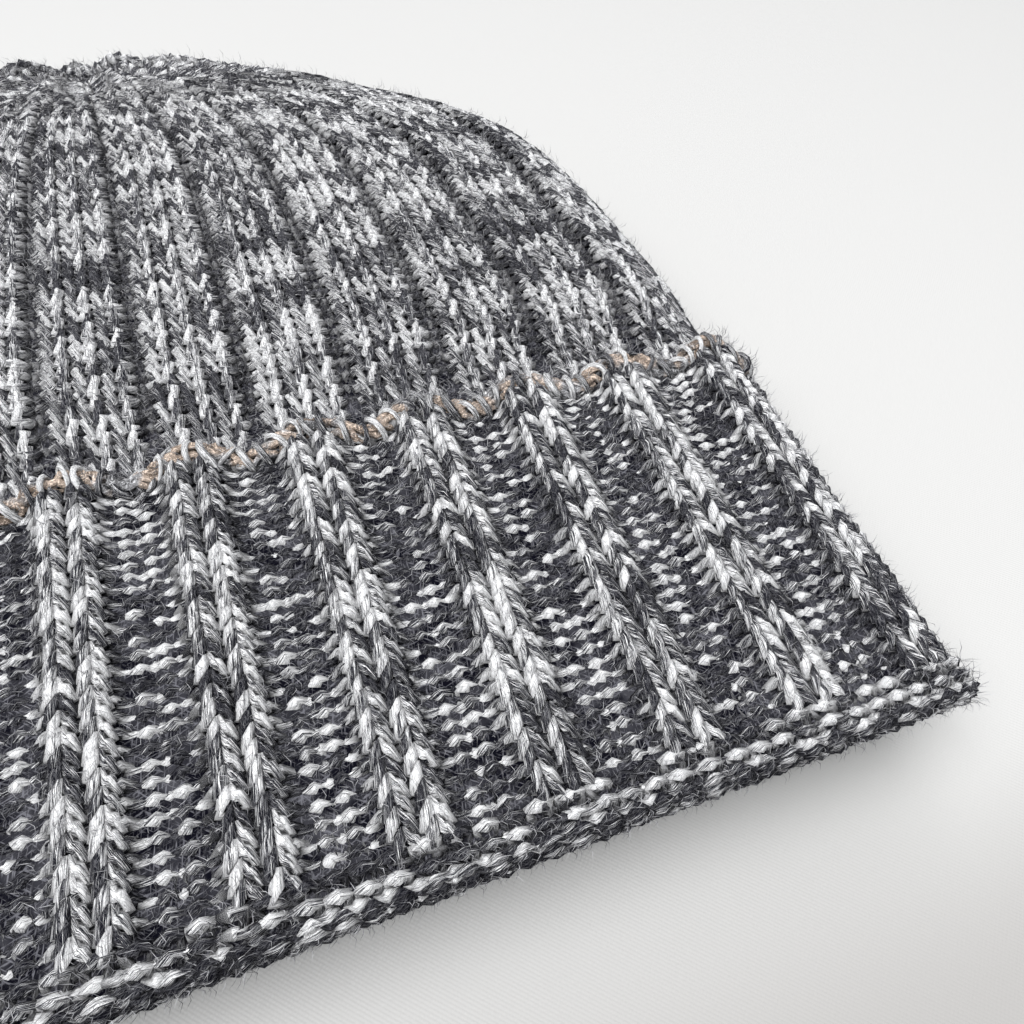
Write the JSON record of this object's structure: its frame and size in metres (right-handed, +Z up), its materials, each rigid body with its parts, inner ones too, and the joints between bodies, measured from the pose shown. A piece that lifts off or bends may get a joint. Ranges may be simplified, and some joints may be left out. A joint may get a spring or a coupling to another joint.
{
  "type": "knit hat",
  "caption": "Rib-knit hat with a turned-up cuff and a scalloped cast-on edge, lying flat on its back.",
  "frame": {"origin": "middle of the hat's outline, on the surface it lies on", "axes": "+Z up, +Y from the fold of the cuff to the crown, +X to the right seen from the fold"},
  "size_m": [0.2168, 0.2131, 0.0289],
  "materials": {
    "marl_knit": "soft marled two-strand wool knit in charcoal, grey and off-white",
    "marl_rib": "soft marled two-strand wool rib with recessed purl ground",
    "tan_edge": "fuzzy grey and off-white loops over a tan core strand"
  },
  "bodies": {
    "root": {"crown": "marl_knit", "turned_cuff": "marl_rib", "cast_on_edge": "tan_edge"}
  },
  "joints": []
}
